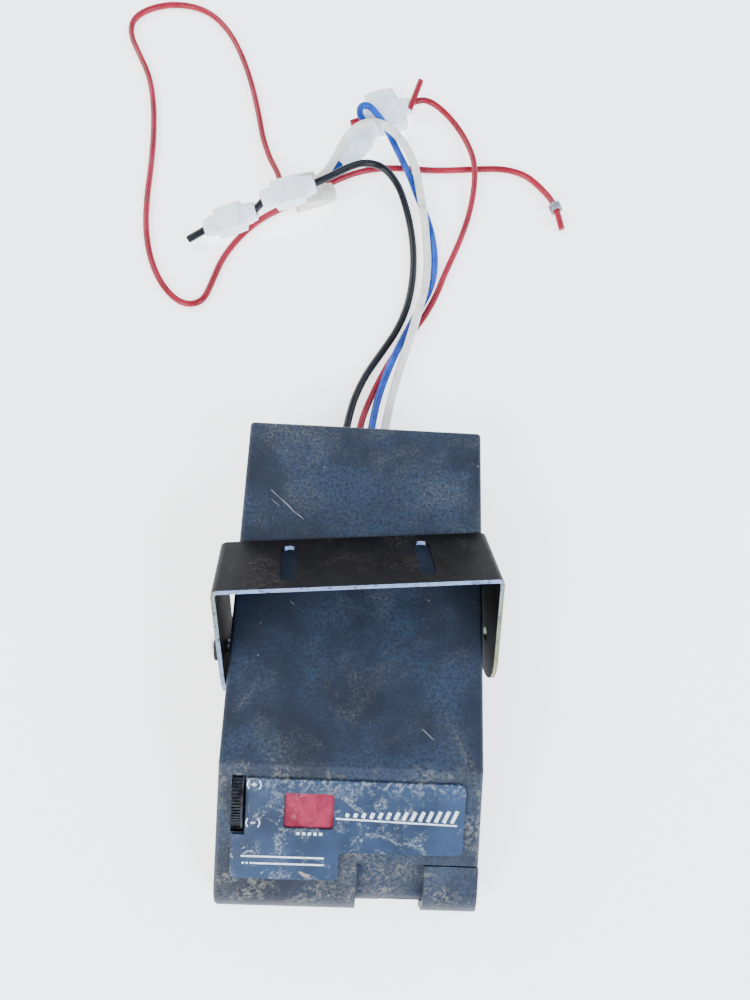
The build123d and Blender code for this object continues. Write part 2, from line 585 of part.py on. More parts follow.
def main():
    parts["upper_housing"] = upper_housing()
    parts["lower_housing"] = lower_housing()
    parts["face_panel"] = face_panel()
    parts["display_lens"] = display_lens()
    parts["display_module"] = face_box(LENS_X, LENS_S, 19.0, 13.0, 2.3, 9.8)
    parts["display_board"] = display_board()
    parts["gain_thumbwheel"] = gain_thumbwheel()
    parts["gain_shaft"] = gain_shaft()
    parts["gain_potentiometer"] = gain_potentiometer()
    parts["slide_knob"] = slide_knob()
    parts["slide_carrier"] = slide_carrier()
    parts["slide_guide_rod"] = rod((4.4, ROD_Y, STEM_Z), (42.2, ROD_Y, STEM_Z), ROD_RADIUS)
    parts["slide_potentiometer"] = slide_potentiometer()
    parts["bracket"] = bracket()
    parts["bracket_screw"] = bracket_screw()
    parts["screw_washer"] = screw_washer()
    parts["thread_inserts"] = thread_inserts()
    parts["case_screws"] = screws(CASE_POSTS, 0.4, 1.7, 3.0, 14.0, 1.47)
    parts["main_board"] = main_board()
    parts["board_screws"] = board_screws()
    parts["terminal_header"] = terminal_header()
    parts["terminal_screws"] = terminal_screws()
    parts["heat_sink"] = heat_sink()
    parts["power_transistors"] = power_transistors()
    parts["controller_chip"] = controller_chip()
    parts["capacitors"] = capacitors()
    parts["lamp_relay"] = lamp_relay()
    parts["board_link"] = board_link()
    parts["wire_grommet"] = wire_grommet()
    parts["wire_black"] = wire("wire_black", BLACK_ROUTE, BLACK_D)
    parts["wire_white"] = wire("wire_white", WHITE_ROUTE, WHITE_D)
    parts["wire_blue"] = wire("wire_blue", BLUE_ROUTE, BLUE_D)
    parts["wire_red"] = wire("wire_red", RED_ROUTE, RED_D)
    parts["red_lead"] = wire("red_lead", LEAD_ROUTE, RED_D)
    for name, (place, size, collars) in SPLICES.items():
        parts["splice_" + name] = splice_body(*size, collars).moved(place)
        parts["splice_cap_" + name] = splice_cap(*size).moved(place)
        parts["splice_blade_" + name] = splice_blade(*size[1:]).moved(place)
    for name, (start, end, diameter) in STUBS.items():
        parts[name] = rod(start, end, diameter / 2)
    parts["lead_nut"] = lead_nut()
    place_all()


def place_all():
    """Centre the footprint of everything but the wires on the origin, and write each part."""
    loose = ("wire_b", "wire_w", "wire_r", "red_", "black_", "blue_", "splice", "lead")
    boxes = [s.bounding_box() for n, s in parts.items() if not n.startswith(loose)]
    middle_x = (min(b.min.X for b in boxes) + max(b.max.X for b in boxes)) / 2
    middle_y = (min(b.min.Y for b in boxes) + max(b.max.Y for b in boxes)) / 2
    print("shift", round(-middle_x, 4), round(-middle_y, 4))
    for name, shape in parts.items():
        export_step(shape.moved(Location((-middle_x, -middle_y, 0))), "parts/" + name + ".step")


main()
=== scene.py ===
import json
from math import cos, radians, sin

import bpy
import numpy as np
from mathutils import Euler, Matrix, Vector


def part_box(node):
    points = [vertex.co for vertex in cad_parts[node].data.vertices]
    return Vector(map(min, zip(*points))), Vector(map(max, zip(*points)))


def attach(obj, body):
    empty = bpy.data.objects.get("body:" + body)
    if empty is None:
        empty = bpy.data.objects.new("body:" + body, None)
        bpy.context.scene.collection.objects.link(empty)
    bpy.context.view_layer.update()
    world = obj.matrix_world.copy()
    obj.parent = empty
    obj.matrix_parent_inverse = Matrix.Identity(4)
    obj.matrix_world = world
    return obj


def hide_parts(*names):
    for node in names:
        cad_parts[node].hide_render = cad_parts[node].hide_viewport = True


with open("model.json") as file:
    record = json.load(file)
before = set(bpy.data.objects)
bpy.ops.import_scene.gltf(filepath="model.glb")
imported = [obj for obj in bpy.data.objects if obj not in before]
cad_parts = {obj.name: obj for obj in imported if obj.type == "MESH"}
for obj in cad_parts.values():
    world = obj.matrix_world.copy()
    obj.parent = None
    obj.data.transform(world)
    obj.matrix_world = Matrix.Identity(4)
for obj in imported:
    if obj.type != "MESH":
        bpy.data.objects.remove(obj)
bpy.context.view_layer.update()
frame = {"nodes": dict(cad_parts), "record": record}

MM = 0.001

# The box's middle and its rear wall, and the upper edge of the panel on the sloping nose.
case_low, case_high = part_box("lower_housing")
MIDDLE_X = (case_low[0] + case_high[0]) / 2
panel_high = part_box("face_panel")[1]
SLOPE = radians(23)
PANEL_DEPTH = 1.0 * MM

# Outer diameters of the wires in metres, and where they leave the rear wall in millimetres.
BLACK_WIRE, WHITE_WIRE, BLUE_WIRE, RED_WIRE = 0.0034, 0.0038, 0.0033, 0.003
BLACK_EXIT, WHITE_EXIT, BLUE_EXIT, RED_EXIT = -9, 7.5, 2, -3.5
EXIT_HEIGHT = 9


# ---------------------------------------------------------------- material tools

NOISE_ROUGHNESS = 0.62
SCRATCH_STRETCH = (1, 14, 1)
SCRATCH_EDGE = 0.03
MIX_FACTOR, MIX_BELOW, MIX_ABOVE, MIX_COLOUR_OUT = 0, 6, 7, 2


def linear(hex_colour):
    """An sRGB hex colour as linear RGBA."""
    channels = [int(hex_colour[i:i + 2], 16) / 255 for i in (1, 3, 5)]
    return [c / 12.92 if c <= 0.04045 else ((c + 0.055) / 1.055) ** 2.4 for c in channels] + [1.0]


def add(tree, kind, inputs=None, **settings):
    """Add a shader node, set its properties, and feed its inputs with values or sockets."""
    node = tree.nodes.new(kind)
    for name, value in settings.items():
        setattr(node, name, value)
    for name, value in (inputs or {}).items():
        if isinstance(value, bpy.types.NodeSocket):
            tree.links.new(value, node.inputs[name])
        else:
            node.inputs[name].default_value = value
    return node


def start_material(name, roughness, **sockets):
    """A material with its shader's plain values set; returns it with its tree and its shader."""
    material = bpy.data.materials.new(name)
    material.use_nodes = True
    shader = material.node_tree.nodes["Principled BSDF"]
    shader.inputs["Roughness"].default_value = roughness
    for socket, value in sockets.items():
        shader.inputs[socket.replace("_", " ")].default_value = value
    return material, material.node_tree, shader


def object_axis(tree, axis):
    """One coordinate of the piece, in metres."""
    place = add(tree, "ShaderNodeTexCoord").outputs["Object"]
    return add(tree, "ShaderNodeSeparateXYZ", {"Vector": place}).outputs[axis]


def band(tree, axis, start, end):
    """Rises from 0 to 1 between two places along an axis of the piece."""
    ramp = {"Value": object_axis(tree, axis), "From Min": start, "From Max": end}
    return add(tree, "ShaderNodeMapRange", ramp, interpolation_type="SMOOTHSTEP").outputs["Result"]


def cloud(tree, size, low, high, detail=6.0, wobble=0.0, stretch=(1, 1, 1), turn=0.0, seed=0.0):
    """Noise with features of a size in metres, cut to 0 below low and 1 above high."""
    place = add(tree, "ShaderNodeTexCoord").outputs["Object"]
    turned = add(tree, "ShaderNodeMapping", {
        "Vector": place, "Rotation": (0, 0, turn), "Scale": stretch,
        "Location": (seed, seed, seed),
    }, vector_type="TEXTURE").outputs["Vector"]
    grain = add(tree, "ShaderNodeTexNoise", {
        "Vector": turned, "Scale": 1 / size, "Detail": detail,
        "Roughness": NOISE_ROUGHNESS, "Distortion": wobble,
    }).outputs["Fac"]
    cut = {"Value": grain, "From Min": low, "From Max": high}
    return add(tree, "ShaderNodeMapRange", cut, interpolation_type="SMOOTHSTEP").outputs["Result"]


def times(tree, one, other):
    """Two masks multiplied: where both are."""
    return add(tree, "ShaderNodeMath", {0: one, 1: other}, operation="MULTIPLY").outputs[0]


def either(tree, one, other):
    """The larger of two masks: where one or the other is."""
    return add(tree, "ShaderNodeMath", {0: one, 1: other}, operation="MAXIMUM").outputs[0]


def over(tree, below, above, mask):
    """One colour laid over another where a mask says. A colour is a hex name or a socket."""
    one, two = (linear(c) if isinstance(c, str) else c for c in (below, above))
    mix = add(tree, "ShaderNodeMix", data_type="RGBA")
    for index, value in ((MIX_FACTOR, mask), (MIX_BELOW, one), (MIX_ABOVE, two)):
        socket = mix.inputs[index]
        if isinstance(value, bpy.types.NodeSocket):
            tree.links.new(value, socket)
        else:
            socket.default_value = value
    return mix.outputs[MIX_COLOUR_OUT]


def hairlines(tree, turn, spacing, thin=0.72):
    """Fine straight scratches: noise of a size of about their spacing, stretched one way, and
    there only in patches. A higher thin leaves fewer and finer ones."""
    lines = cloud(tree, spacing, thin, thin + SCRATCH_EDGE, detail=2.0,
                  stretch=SCRATCH_STRETCH, turn=turn)
    return times(tree, lines, cloud(tree, 14 * MM, 0.5, 0.6, detail=3.0, seed=3.0))


def bump(tree, shader, height, depth):
    """Feeds a height, 0 to 1, to the shader's normal as relief of a depth in metres."""
    relief = add(tree, "ShaderNodeBump", {"Height": height, "Distance": depth, "Strength": 1.0})
    tree.links.new(relief.outputs["Normal"], shader.inputs["Normal"])


def colour_of(tree, shader, colour):
    """Feeds a colour to the shader."""
    tree.links.new(colour, shader.inputs["Base Color"])


def roughness_of(tree, shader, smooth, rough, mask):
    """Roughness between two values where a mask says."""
    span = {"Value": mask, "To Min": smooth, "To Max": rough}
    value = add(tree, "ShaderNodeMapRange", span).outputs["Result"]
    tree.links.new(value, shader.inputs["Roughness"])


# ---------------------------------------------------------------- materials

def dusty_moulding(name, deep, lit, dust, cover, edges):
    """Injection-moulded ABS with a spark-eroded grain of about 0.6 mm, faded in clouds and
    dusty: the grain gives a fine sparkle, and the dust lies in smears that hide the gloss.
    cover is how much of it is dusty, and edges are bands (axis, where each starts, where it is
    full) with the dust colour laid thicker: dust, and a painted reflection of the surroundings on
    the lower front lip."""
    material, tree, shader = start_material(name, 0.5, Specular_IOR_Level=0.3)
    grain = cloud(tree, 0.6 * MM, 0.35, 0.7, detail=1.0)
    fade = cloud(tree, 38 * MM, 0.36, 0.66, detail=3.0)
    colour = over(tree, deep, lit, times(tree, fade, cloud(tree, 1.1 * MM, 0.2, 0.75, detail=2.0)))
    smear = cloud(tree, 30 * MM, 0.64 - cover, 0.92 - cover, detail=9.0, wobble=0.6, seed=2.9)
    haze = times(tree, smear, cloud(tree, 0.9 * MM, 0.38, 0.75, detail=4.0))
    dust_and_reflection_specks = times(tree, cloud(tree, 11 * MM, 0.42, 0.62, detail=5.0, seed=5.0),
                   cloud(tree, 1.5 * MM, 0.44, 0.62, detail=9.0, wobble=0.5, seed=6.0))
    # The bands lay the dust colour thicker round the nose and along the bottom: dust, and a painted
    # reflection of the surroundings on the lower front lip.
    for axis, band_start, band_full in edges:
        haze = either(tree, haze, times(tree, band(tree, axis, band_start, band_full), dust_and_reflection_specks))
    colour = over(tree, colour, dust, times(tree, haze, 0.5))
    flecks = cloud(tree, 1.5 * MM, 0.74, 0.77, detail=2.0, seed=8.0)
    marks = either(tree, hairlines(tree, radians(50), 1.6 * MM), times(tree, flecks, 0.8))
    colour = over(tree, colour, "#A9AAA4", times(tree, marks, 0.55))
    colour_of(tree, shader, colour)
    roughness_of(tree, shader, 0.46, 0.85, haze)
    bump(tree, shader, grain, 0.05 * MM)
    return material


def case_material():
    """The case's black plastic, with the dust colour laid thicker round the nose and along the
    bottom: dust, and a painted reflection of the surroundings on the lower front lip.
    """
    return dusty_moulding(
        "textured_black_abs", "#171F2B", "#2E3D50", "#8E8A7C", 0.16,
        [("Y", -36 * MM, -42 * MM), ("Z", 12 * MM, 4 * MM)],
    )


def panel_material():
    """Printed polyester film: smoother and bluer than the case, scuffed by fingers."""
    material, tree, shader = start_material("panel_film", 0.42, Specular_IOR_Level=0.4)
    fade = cloud(tree, 30 * MM, 0.35, 0.65, detail=3.0, seed=2.0)
    colour = over(tree, "#18263A", "#2A3F5A", fade)
    scuffs = cloud(tree, 10 * MM, 0.5, 0.64, detail=10.0, wobble=1.4, seed=4.0)
    scuffs = times(tree, scuffs, cloud(tree, 0.8 * MM, 0.42, 0.6, detail=4.0))
    edge = times(tree, band(tree, "Y", -50 * MM, -43 * MM),
                 cloud(tree, 1.6 * MM, 0.48, 0.62, detail=8.0, seed=6.0))
    dirt = either(tree, scuffs, edge)
    colour = over(tree, colour, "#98A0A0", times(tree, dirt, 0.5))
    smudge = cloud(tree, 9 * MM, 0.66, 0.68, detail=6.0, wobble=0.4, seed=9.3)
    colour = over(tree, colour, "#B8AE98", times(tree, smudge, 0.55))
    lines = either(tree, hairlines(tree, radians(-55), 1.0 * MM, 0.68),
                   hairlines(tree, radians(30), 1.2 * MM))
    colour = over(tree, colour, "#B6C2CC", times(tree, lines, 0.5))
    colour_of(tree, shader, colour)
    roughness_of(tree, shader, 0.36, 0.8, dirt)
    bump(tree, shader, cloud(tree, 0.5 * MM, 0.3, 0.7, detail=1.0), 0.015 * MM)
    return material


def lens_material():
    """Red-tinted acrylic, hazed and scratched, over a dark display: a dull pinkish red."""
    material, tree, shader = start_material("red_acrylic", 0.3, Coat_Weight=0.3, IOR=1.49)
    patches = cloud(tree, 9 * MM, 0.35, 0.65, detail=4.0, wobble=0.8)
    colour = over(tree, "#7C102C", "#A02846", patches)
    scratches = either(tree, hairlines(tree, radians(-50), 0.9 * MM, 0.66),
                       hairlines(tree, radians(20), 1.1 * MM))
    haze = cloud(tree, 5 * MM, 0.55, 0.7, detail=8.0, seed=3.3)
    worn = either(tree, scratches, times(tree, haze, 0.4))
    colour = over(tree, colour, "#D890A4", times(tree, worn, 0.5))
    colour_of(tree, shader, colour)
    roughness_of(tree, shader, 0.22, 0.55, haze)
    return material


def wheel_material():
    """Moulded black nylon, its ribs polished by a thumb and dirt packed between them."""
    material, tree, shader = start_material("ribbed_nylon", 0.45, Specular_IOR_Level=0.3)
    dirt = cloud(tree, 2.4 * MM, 0.42, 0.66, detail=8.0)
    colour_of(tree, shader, over(tree, "#070A10", "#343C44", times(tree, dirt, 0.55)))
    roughness_of(tree, shader, 0.32, 0.7, dirt)
    bump(tree, shader, cloud(tree, 0.4 * MM, 0.3, 0.7, detail=2.0), 0.02 * MM)
    return material


# How the bracket stands at rest. Its strip's cut edges face along its own y axis, and the legs
# are the ends of its x range.
BRACKET_TILT, BRACKET_SKEW = radians(-45), radians(5)
BRACKET_TURN = Euler((0, 0, BRACKET_SKEW)).to_matrix() @ Euler((BRACKET_TILT, 0, 0)).to_matrix()
LEFT_LEG, RIGHT_LEG = (-44 * MM, -48.5 * MM), (47 * MM, 50.5 * MM)


def bracket_material():
    """Zinc-plated steel strip under a thin black coating: the cut edges show bright zinc, painted
    bluish across the front and yellower down the legs as reflections of the cool sky and of the
    surroundings, and the flat faces are dusty black."""
    material, tree, shader = start_material("coated_zinc_steel", 0.42, Specular_IOR_Level=0.08)
    normal = add(tree, "ShaderNodeTexCoord").outputs["Normal"]
    across = add(tree, "ShaderNodeVectorMath", {
        0: normal, 1: tuple(BRACKET_TURN @ Vector((0, 1, 0))),
    }, operation="DOT_PRODUCT").outputs["Value"]
    facing = add(tree, "ShaderNodeMath", {0: across}, operation="ABSOLUTE").outputs[0]
    cut = {"Value": facing, "From Min": 0.72, "From Max": 0.86}
    edge = add(tree, "ShaderNodeMapRange", cut).outputs["Result"]
    # Painted reflections on the zinc edges: bluish from the cool sky across the front, yellower
    # from the surroundings down the legs.
    leg = either(tree, band(tree, "X", *LEFT_LEG), band(tree, "X", *RIGHT_LEG))
    zinc = over(tree, "#8FA3C4", "#8E9068", leg)
    zinc = over(tree, zinc, "#4A5060", cloud(tree, 2.2 * MM, 0.5, 0.72, detail=6.0))
    black = over(tree, "#050404", "#100E10", cloud(tree, 16 * MM, 0.35, 0.65, detail=4.0))
    dust = times(tree, cloud(tree, 20 * MM, 0.5, 0.7, detail=9.0, wobble=0.8, seed=7.0),
                 cloud(tree, 1.4 * MM, 0.42, 0.66, detail=4.0))
    chips = cloud(tree, 3.0 * MM, 0.72, 0.75, detail=7.0, wobble=1.0, seed=2.4)
    black = over(tree, black, "#5C5750", times(tree, dust, 0.3))
    scrapes = either(tree, chips, hairlines(tree, radians(20), 1.2 * MM))
    black = over(tree, black, "#9A9284", times(tree, scrapes, 0.5))
    colour_of(tree, shader, over(tree, black, zinc, edge))
    tree.links.new(times(tree, edge, 0.75), shader.inputs["Metallic"])
    roughness_of(tree, shader, 0.42, 0.75, dust)
    bump(tree, shader, cloud(tree, 0.8 * MM, 0.3, 0.7, detail=3.0), 0.02 * MM)
    return material


def zinc_material():
    """Bright zinc plate on turned steel, a little stained."""
    material, tree, shader = start_material("zinc_plate", 0.28, Metallic=1.0)
    stain = cloud(tree, 2.0 * MM, 0.45, 0.7, detail=6.0)
    colour_of(tree, shader, over(tree, "#D4D8DC", "#8A8478", times(tree, stain, 0.7)))
    roughness_of(tree, shader, 0.22, 0.5, stain)
    return material


def pvc_material(name, deep, bright, dirt, cover):
    """Extruded PVC insulation: smooth with a soft gloss, a faint lay of the strands under it,
    and grimy in places."""
    material, tree, shader = start_material(name, 0.38, Specular_IOR_Level=0.3)
    colour = over(tree, deep, bright, cloud(tree, 16 * MM, 0.35, 0.65, detail=4.0))
    grime = cloud(tree, 9 * MM, 0.72 - cover, 0.88 - cover, detail=9.0, wobble=0.5, seed=3.0)
    colour = over(tree, colour, dirt, times(tree, grime, 0.65))
    specks = cloud(tree, 0.9 * MM, 0.7, 0.74, detail=3.0, seed=5.0)
    colour_of(tree, shader, over(tree, colour, "#8A8478", times(tree, specks, 0.35)))
    roughness_of(tree, shader, 0.3, 0.65, grime)
    bump(tree, shader, cloud(tree, 3.0 * MM, 0.3, 0.7, detail=4.0), 0.06 * MM)
    return material


def nylon_material(name, body, shade, dirt, cover):
    """Natural nylon, moulded and unpainted: milky, waxy and slightly translucent."""
    material, tree, shader = start_material(
        name, 0.34, Subsurface_Weight=0.25, Subsurface_Scale=0.6 * MM, IOR=1.53,
    )
    colour = over(tree, body, shade, cloud(tree, 7 * MM, 0.4, 0.7, detail=3.0))
    grime = cloud(tree, 6 * MM, 0.74 - cover, 0.9 - cover, detail=9.0, wobble=0.8, seed=2.0)
    colour_of(tree, shader, over(tree, colour, dirt, times(tree, grime, 0.5)))
    roughness_of(tree, shader, 0.28, 0.55, grime)
    bump(tree, shader, cloud(tree, 1.6 * MM, 0.3, 0.7, detail=3.0), 0.03 * MM)
    return material


def nut_material():
    """Dull plated steel gone grey-brown."""
    material, tree, shader = start_material("dull_plated_steel", 0.45, Metallic=0.7)
    tarnish = cloud(tree, 2.2 * MM, 0.4, 0.65, detail=6.0)
    colour_of(tree, shader, over(tree, "#9AA2AC", "#6E6468", tarnish))
    return material


def plain_material(name, one, other, size, roughness, **sockets):
    """A moulded or plated finish with a soft variation of a size in metres."""
    material, tree, shader = start_material(name, roughness, **sockets)
    patches = cloud(tree, size, 0.35, 0.68, detail=5.0)
    colour_of(tree, shader, over(tree, one, other, patches))
    roughness_of(tree, shader, roughness, min(roughness + 0.2, 1.0), patches)
    return material


MATERIALS = {
    "case": case_material(),
    "panel": panel_material(),
    "lens": lens_material(),
    "wheel": wheel_material(),
    "bracket_coating": bracket_material(),
    "plated_steel": zinc_material(),
    "washer": plain_material("vulcanised_fibre", "#16181C", "#2A2A2C", 2 * MM, 0.7),
    "insulation_black": pvc_material("black_pvc", "#010204", "#070C16", "#33383E", 0.12),
    "insulation_white": pvc_material("white_pvc", "#DAD8C8", "#ECECE2", "#9C9078", 0.17),
    "insulation_blue": pvc_material("blue_pvc", "#062A78", "#1450B4", "#4A6078", 0.12),
    "insulation_red": pvc_material("red_pvc", "#7E0A1C", "#98182E", "#7C464C", 0.14),
    "nylon": nylon_material("natural_nylon", "#F4FBFF", "#DDEBF3", "#A9ADAC", 0.06),
    "nylon_aged": nylon_material("aged_nylon", "#E2E0D2", "#CFCAB6", "#A69C84", 0.16),
    "crimp_nut": nut_material(),
    "display": plain_material("display_module", "#14060A", "#2A0A10", 6 * MM, 0.4),
    "circuit_board": plain_material("solder_mask", "#0C3A22", "#10512E", 9 * MM, 0.35),
    "component_black": plain_material("moulded_epoxy", "#0C0C0E", "#1C1C20", 4 * MM, 0.5),
    "carrier": plain_material("natural_acetal", "#C9C8C0", "#DEDDD6", 5 * MM, 0.4),
    "brass": plain_material("turned_brass", "#B08A3C", "#8A6A2C", 3 * MM, 0.3, Metallic=1.0),
    "terminal_green": plain_material("green_polyamide", "#1C6A38", "#268048", 5 * MM, 0.45),
    "aluminium": plain_material(
        "extruded_aluminium", "#B4B8BC", "#989DA2", 5 * MM, 0.35, Metallic=1.0,
    ),
    "relay_blue": plain_material("relay_case", "#123A86", "#1A4A9C", 6 * MM, 0.35),
    "ribbon": plain_material("flat_ribbon", "#8C8C8C", "#A8A8A4", 3 * MM, 0.5),
    "grommet": plain_material("moulded_rubber", "#0C0D10", "#1A1B1E", 3 * MM, 0.65),
    "ink": plain_material("white_screen_ink", "#F4F8FA", "#C4CED4", 1.5 * MM, 0.5),
    "copper": plain_material("bare_copper", "#B87850", "#7A4A34", 1 * MM, 0.35, Metallic=1.0),
}


def dress_cad_nodes():
    """Give every CAD node the material of its record slot."""
    for row in frame["record"]["subparts"]:
        mesh = frame["nodes"][row["node"]].data
        mesh.materials.clear()
        mesh.materials.append(MATERIALS[row["material_slot"]])


# ---------------------------------------------------------------- mesh tools

def in_box(points):
    """Points in millimetres from the box's middle, in metres in the row's frame."""
    return np.asarray(points) * MM + np.array([MIDDLE_X, 0, 0])


def new_piece(name, points, faces, slot, smooth=True):
    """A mesh object on the box, from an array of points in metres and a list of faces."""
    mesh = bpy.data.meshes.new(name)
    mesh.from_pydata(np.asarray(points).tolist(), [], [tuple(f) for f in faces])
    mesh.validate()
    mesh.materials.append(MATERIALS[slot])
    mesh.polygons.foreach_set("use_smooth", np.full(len(mesh.polygons), smooth))
    piece = bpy.data.objects.new(name, mesh)
    bpy.context.scene.collection.objects.link(piece)
    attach(piece, "housing")
    return piece


def tube_faces(rings, around):
    """Quads of a closed tube of rings, each of around points, with a cap at each end."""
    i, j = np.meshgrid(np.arange(rings - 1), np.arange(around), indexing="ij")
    k = (j + 1) % around
    this_ring, next_ring = i * around, (i + 1) * around
    quads = np.stack([this_ring + j, this_ring + k, next_ring + k, next_ring + j], -1)
    caps = [list(range(around))[::-1], list(range((rings - 1) * around, rings * around))]
    return quads.reshape(-1, 4).tolist() + caps


def circle(around):
    """The cosine and sine of a number of even turns, as rows."""
    turn = np.linspace(0, 2 * np.pi, around, endpoint=False)[None, :]
    return np.cos(turn), np.sin(turn)


def signed_power(value, exponent):
    """|value|^exponent with the value's sign, for superellipses."""
    return np.sign(value) * np.abs(value) ** exponent


def superellipse_loft(x, half_width, half_height, power, aside, around=72):
    """Rings at x, each |y/w|^p + |z/h|^p = 1 with its own width, height and power, its middle
    moved aside along y."""
    c, s = circle(around)
    exponent = (2 / power)[:, None]
    y = aside[:, None] + half_width[:, None] * signed_power(c, exponent)
    z = half_height[:, None] * signed_power(s, exponent)
    rings = np.stack([np.broadcast_to(x[:, None], y.shape), y, z], -1)
    return rings.reshape(-1, 3), tube_faces(len(x), around)


# ---------------------------------------------------------------- tap connectors

# Each connector: its middle in millimetres from the box's middle, its heading and nose-up
# angle in degrees, its block's size, its collars as (end, offset across), and its finish.
BOTH_ENDS = ((1, 0.0), (-1, 0.0))
CONNECTORS = {
    "a": ((-66.7, 198.1, 9.6), 13.6, 17.0, (13.0, 14.0, 8.0), BOTH_ENDS, "nylon"),
    "b": ((-40.6, 210.3, 15.9), 21.6, 4.6, (13.0, 14.0, 7.6), BOTH_ENDS, "nylon"),
    "c": ((-33.8, 218.8, 6.7), 22.4, 0.0, (14.5, 18.0, 7.4), ((1, -4.0),), "nylon_aged"),
    "d": ((3.3, 272.1, 4.9), 23.4, 0.0, (15.0, 23.0, 9.0), BOTH_ENDS, "nylon"),
    "e": ((-10.7, 247.2, 7.4), 54.4, 3.0, (13.0, 12.0, 7.6), BOTH_ENDS, "nylon"),
}
COLLAR_LENGTH, COLLAR_HALF_WIDTH, COLLAR_HALF_HEIGHT = 6.5, 5.1, 3.15
MOUTH_RADIUS, MOUTH_DEPTH, MOUTH_TAPER = 2.2, 2.6, 0.25
BLOCK_POWER, COLLAR_POWER, BELLY_POWER = 5.0, 2.6, 6
PLAIN_END_ROUND = 1.6
CROWN = 0.35

# Along a collar, as parts of its length: where its shoulder ends, and where its step and its
# lip start and how long they are. The step and the lip have a height in millimetres.
SHOULDER_PART = 0.16
STEP_START, STEP_PART, STEP_HEIGHT = 0.52, 0.12, 0.55
LIP_START, LIP_PART, LIP_HEIGHT = 0.84, 0.16, 0.9

# The lid from its hidden foot to its middle: height over the block's crown, and how far in.
LID_RISE = np.array([-1.6, -0.25, 0.0, 0.12, 0.2, 0.25, 0.27, 0.28])
LID_INWARD = np.array([0.0, 0.0, 0.05, 0.18, 0.4, 0.8, 2.2, 4.0])
LID_AROUND, LID_EXPONENT = 96, 0.3
GROOVE_DEPTH, GROOVE_HALF_WIDTH, LID_RIM = 0.16, 0.7, 0.5


def placed(points, middle, heading, nose):
    """Points in millimetres about a connector's own middle, turned and moved into place."""
    turn = Euler((0, 0, radians(heading))).to_matrix() @ Euler((0, radians(-nose), 0)).to_matrix()
    return in_box(np.asarray(points) @ np.array(turn).T + np.array(middle))


def eased(x):
    """A smooth step from 0 to 1."""
    x = np.clip(x, 0, 1)
    return x * x * (3 - 2 * x)


def end_rings(end, start, aside, collar, half_width, half_height):
    """The stations from the block's shoulder out to one end, as (x, w, h, power, aside) rows.
    A collar has a step half way, a rolled lip and a mouth that goes back in to its bore; a
    plain end only rounds over."""
    if not collar:
        turn = np.linspace(0, np.pi / 2, 7)
        fall = PLAIN_END_ROUND * (1 - np.cos(turn))
        x = start + PLAIN_END_ROUND * np.sin(turn) - PLAIN_END_ROUND
        power = BLOCK_POWER - 2 * np.sin(turn)
        return np.stack([end * x, half_width - fall, half_height - fall, power, 0 * x], 1)
    t = np.linspace(0, 1, 15)
    drop = eased(t / SHOULDER_PART)
    step = STEP_HEIGHT * eased((t - STEP_START) / STEP_PART)
    lip = LIP_HEIGHT * (1 - np.sqrt(1 - np.clip((t - LIP_START) / LIP_PART, 0, 1) ** 2))
    w = half_width + (COLLAR_HALF_WIDTH - half_width) * drop - step - lip
    h = half_height + (COLLAR_HALF_HEIGHT - half_height) * drop - 0.6 * step - lip
    power = BLOCK_POWER - (BLOCK_POWER - COLLAR_POWER) * drop
    outer = np.stack([end * (start + COLLAR_LENGTH * t), w, h, power, aside * drop], 1)
    back = np.array([0.0, 0.5, 1.0])
    radius = MOUTH_RADIUS + MOUTH_TAPER * (1 - back)
    depth = end * (start + COLLAR_LENGTH - MOUTH_DEPTH * back)
    mouth = np.stack([depth, radius, radius, 2.0 + 0 * back, aside + 0 * back], 1)
    return np.concatenate([outer, mouth])


def connector_body(letter):
    """A block with a collar at each wire entry, as one loft of superellipses along the wire."""
    middle, heading, nose, (length, width, height), collars, slot = CONNECTORS[letter]
    asides = dict(collars)
    half_width, half_height = width / 2 - 0.1, height / 2 - CROWN
    left, right = (
        end_rings(end, length / 2, asides.get(end, 0.0), end in asides, half_width, half_height)
        for end in (-1, 1)
    )
    inset = length / 2 - 0.7
    belly = np.linspace(-inset, inset, 9)
    flat = 0 * belly
    rise = half_height - CROWN + CROWN * (1 - (belly / inset) ** 2)
    block = np.stack([belly, half_width + flat, rise, BELLY_POWER + flat, flat], 1)
    x, w, h, power, aside = np.concatenate([left[::-1], block, right]).T
    points, faces = superellipse_loft(x, w, h, power, aside)
    body = new_piece("connector_" + letter, placed(points, middle, heading, nose), faces, slot)
    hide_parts("splice_" + letter)
    return body


def connector_lid(letter):
    """The snap lid on the block: a shallow pillow |x/a|^p + |y/b|^p = 1 with a rounded rim and
    a groove across its middle, over the blade."""
    middle, heading, nose, (length, width, height), _, slot = CONNECTORS[letter]
    rise, inward = LID_RISE[:, None], LID_INWARD[:, None]
    half_length, half_width = length / 2 - 0.9, width / 2 - 1.0
    c, s = circle(LID_AROUND)
    x = (half_length - inward) * signed_power(c, LID_EXPONENT)
    y = (half_width - inward) * signed_power(s, LID_EXPONENT)
    groove = GROOVE_DEPTH * np.exp(-(x / GROOVE_HALF_WIDTH) ** 2) * (inward > LID_RIM)
    z = height / 2 - CROWN + rise - groove
    points = placed(np.stack([x, y, z], -1).reshape(-1, 3), middle, heading, nose)
    faces = tube_faces(len(rise), LID_AROUND)
    lid = new_piece("connector_lid_" + letter, points, faces, slot)
    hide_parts("splice_cap_" + letter)
    return lid


